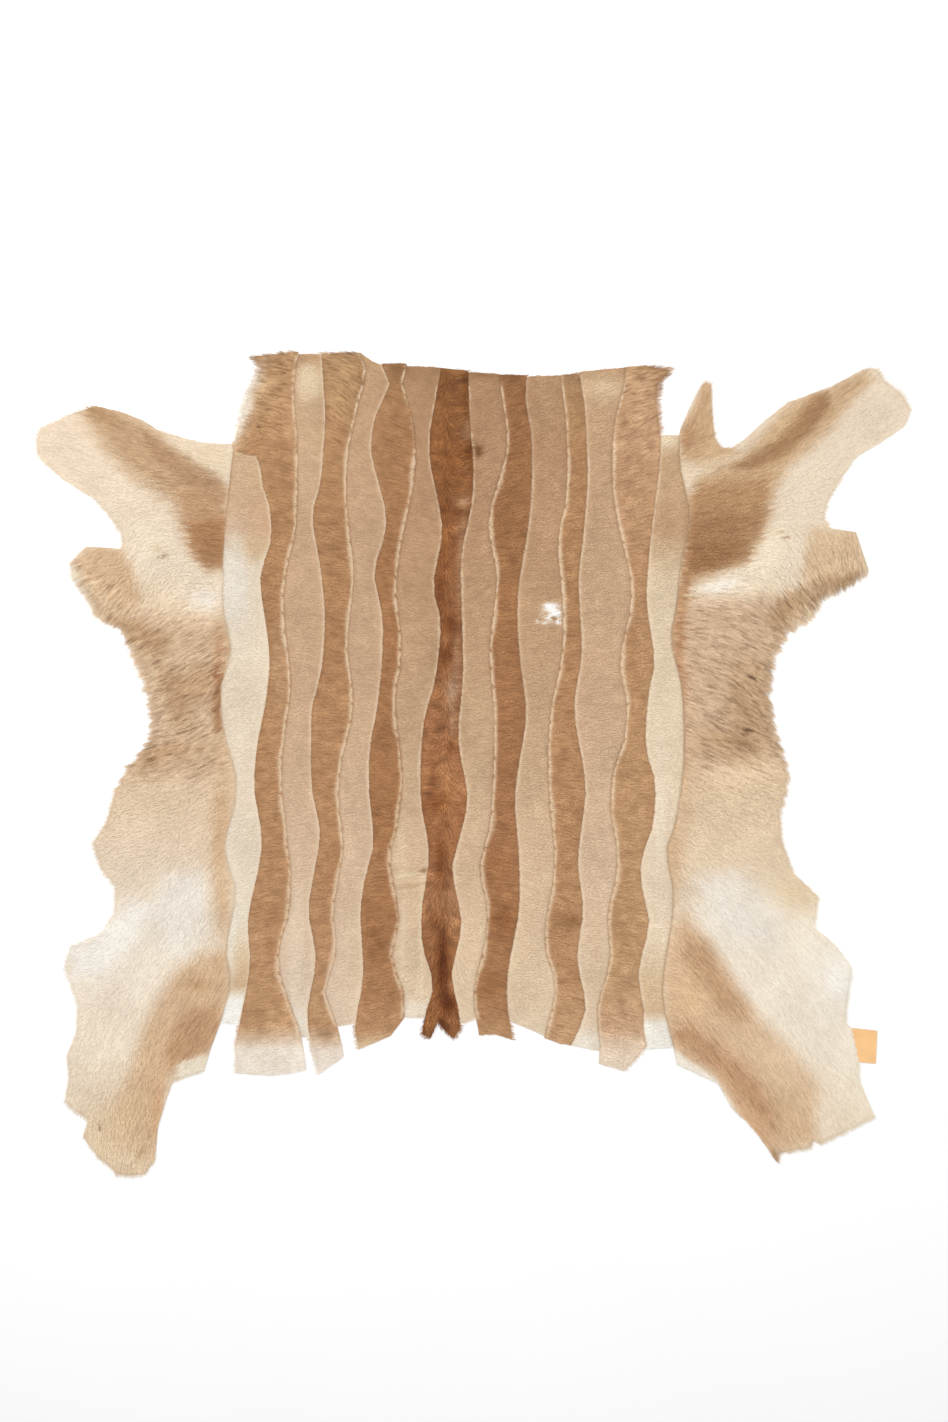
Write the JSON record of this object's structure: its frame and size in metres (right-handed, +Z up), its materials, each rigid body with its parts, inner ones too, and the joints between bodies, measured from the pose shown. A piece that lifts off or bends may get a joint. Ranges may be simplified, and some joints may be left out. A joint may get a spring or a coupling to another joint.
{
  "type": "hair-on cowhide rug",
  "caption": "Flat hair-on cowhide rug, pieced from wavy lengthwise strips of light and dark hide between two flank panels with legs, and a small plain leather tab",
  "frame": {"origin": "on the floor under the middle of the rug", "axes": "+X to the right seen from above with the neck at the top, +Y towards the neck, +Z up on the hair side"},
  "size_m": [1.9, 1.7914, 0.0111],
  "materials": {
    "hair_light": "short lying cow hair, light tan, on leather",
    "hair_dark": "short lying cow hair, mid brown, on leather",
    "hair_spine": "dense lying cow hair, reddish brown with darker spots, on leather",
    "hair_flank": "lying cow hair, cream legs and tan flanks, longer at the belly, on leather",
    "tab_leather": "smooth vegetable-tanned leather, plain"
  },
  "bodies": {
    "root": {"left_flank": "hair_flank", "light_strip_1": "hair_light", "dark_strip_1": "hair_dark", "light_strip_2": "hair_light", "dark_strip_2": "hair_dark", "light_strip_3": "hair_light", "dark_strip_3": "hair_dark", "light_strip_4_neck": "hair_light", "light_strip_4_tail": "hair_light", "spine_strip": "hair_spine", "light_strip_5": "hair_light", "dark_strip_4": "hair_dark", "light_strip_6": "hair_light", "dark_strip_5": "hair_dark", "light_strip_7": "hair_light", "dark_strip_6": "hair_dark", "light_strip_8": "hair_light", "right_flank": "hair_flank", "leather_tab": "tab_leather"}
  },
  "joints": []
}
